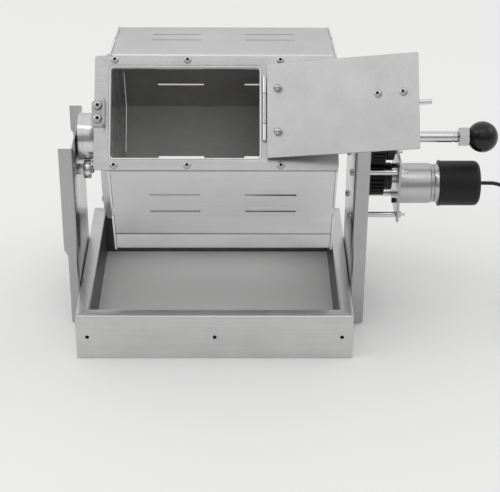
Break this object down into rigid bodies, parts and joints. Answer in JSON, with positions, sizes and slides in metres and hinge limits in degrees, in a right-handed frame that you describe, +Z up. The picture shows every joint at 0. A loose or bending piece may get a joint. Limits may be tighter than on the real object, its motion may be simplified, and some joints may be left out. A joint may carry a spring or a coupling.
{
  "type": "coffee bean roaster",
  "caption": "Countertop coffee bean roaster: hexagonal steel drum with a hinged door, turned on a steel stand by a gear motor, with a ball-ended handle rod and a coiled low-voltage lead.",
  "frame": {"origin": "middle of the bottom of the box round the roaster without its lead, on the table", "axes": "+X along the drum's axis towards the motor and the handle, +Y to the back, +Z up"},
  "size_m": [0.5346, 0.2642, 0.3221],
  "materials": {
    "base_steel": "dull brushed",
    "upright_steel": "smooth mill finish",
    "drum_steel": "brushed",
    "panel_steel": "brushed",
    "door_steel": "brushed",
    "polished_steel": "polished",
    "fastener_steel": "bright",
    "bright_metal": "bright satin",
    "bearing_bronze": "satin",
    "black_steel": "blackened",
    "black_plastic": "matte",
    "knob_plastic": "gloss",
    "lead_plastic": "matte"
  },
  "bodies": {
    "stand": {"bearing_housing": "upright_steel", "cord_coil": "lead_plastic", "cord_grommet": "black_plastic", "cord_tie": "lead_plastic", "dc_plug": "lead_plastic", "front_lower_standoff": "polished_steel", "front_rail": "base_steel", "front_roller_bolt": "fastener_steel", "front_upper_standoff": "polished_steel", "gearbox": "bright_metal", "left_rail": "base_steel", "left_upright": "upright_steel", "lower_gearbox_screw": "black_steel", "motor_can": "bright_metal", "motor_cover": "black_plastic", "motor_plate": "upright_steel", "motor_ring": "bright_metal", "power_cord": "lead_plastic", "rear_lower_standoff": "polished_steel", "rear_rail": "base_steel", "rear_roller_bolt": "fastener_steel", "rear_upper_standoff": "polished_steel", "right_rail": "base_steel", "right_upright": "upright_steel", "shaft_bearing": "bearing_bronze", "upper_gearbox_screw": "black_steel"},
    "drum": {"drum_shell": "drum_steel", "left_end_plate": "drum_steel", "right_end_plate": "drum_steel", "left_end_cap": "drum_steel", "hub_ring": "polished_steel", "drum_shaft": "polished_steel", "drum_gear": "black_plastic", "gear_collar": "black_plastic", "handle_rod": "polished_steel", "lock_nut": "bright_metal", "ball_knob": "knob_plastic", "front_panel": "panel_steel", "catch_plate": "panel_steel", "upper_catch_screw": "fastener_steel", "lower_catch_screw": "fastener_steel", "fixed_hinge_leaf": "panel_steel", "hinge_pin": "polished_steel"},
    "door": {"door_panel": "door_steel", "door_hinge_leaf": "panel_steel", "upper_hinge_screw": "fastener_steel", "lower_hinge_screw": "fastener_steel", "upper_dome_nut": "fastener_steel", "lower_dome_nut": "fastener_steel", "latch_bracket": "panel_steel", "inner_latch_screw": "fastener_steel", "outer_latch_screw": "fastener_steel"},
    "latch": {"latch_bolt": "polished_steel", "latch_pull": "polished_steel"},
    "pinion": {"pinion_gear": "black_plastic", "motor_shaft": "polished_steel", "pinion_setscrew": "black_steel"},
    "front_roller": {"front_roller": "polished_steel"},
    "rear_roller": {"rear_roller": "polished_steel"}
  },
  "joints": [
    {"name": "drum_spin", "type": "hinge", "parent": "stand", "child": "drum", "pos_m": [-0.06768, 0.01361, 0.194], "axis": [1, 0, 0], "range_deg": [-180, 80]},
    {"name": "door_hinge", "type": "hinge", "parent": "drum", "child": "door", "pos_m": [-0.01878, -0.06883, 0.25855], "axis": [0, 0.6165, 0.7874], "range_deg": [-163.36, 0]},
    {"name": "latch_slide", "type": "slide", "parent": "door", "child": "latch", "axis": [0.9581, -0.2255, 0.1765], "range_m": [-0.012, 0]},
    {"name": "pinion_spin", "type": "hinge", "parent": "stand", "child": "pinion", "pos_m": [-0.06768, 0.01361, 0.149], "axis": [1, 0, 0], "continuous": true},
    {"name": "front_roller_spin", "type": "hinge", "parent": "stand", "child": "front_roller", "pos_m": [-0.06768, -0.00278, 0.16467], "axis": [1, 0, 0], "continuous": true},
    {"name": "rear_roller_spin", "type": "hinge", "parent": "stand", "child": "rear_roller", "pos_m": [-0.06768, 0.03, 0.16467], "axis": [1, 0, 0], "continuous": true}
  ],
  "couplings": [
    {"joint": "pinion_spin", "follows": "drum_spin", "ratio": -1.5},
    {"joint": "front_roller_spin", "follows": "drum_spin", "ratio": -2.5806},
    {"joint": "rear_roller_spin", "follows": "drum_spin", "ratio": -2.5806}
  ]
}
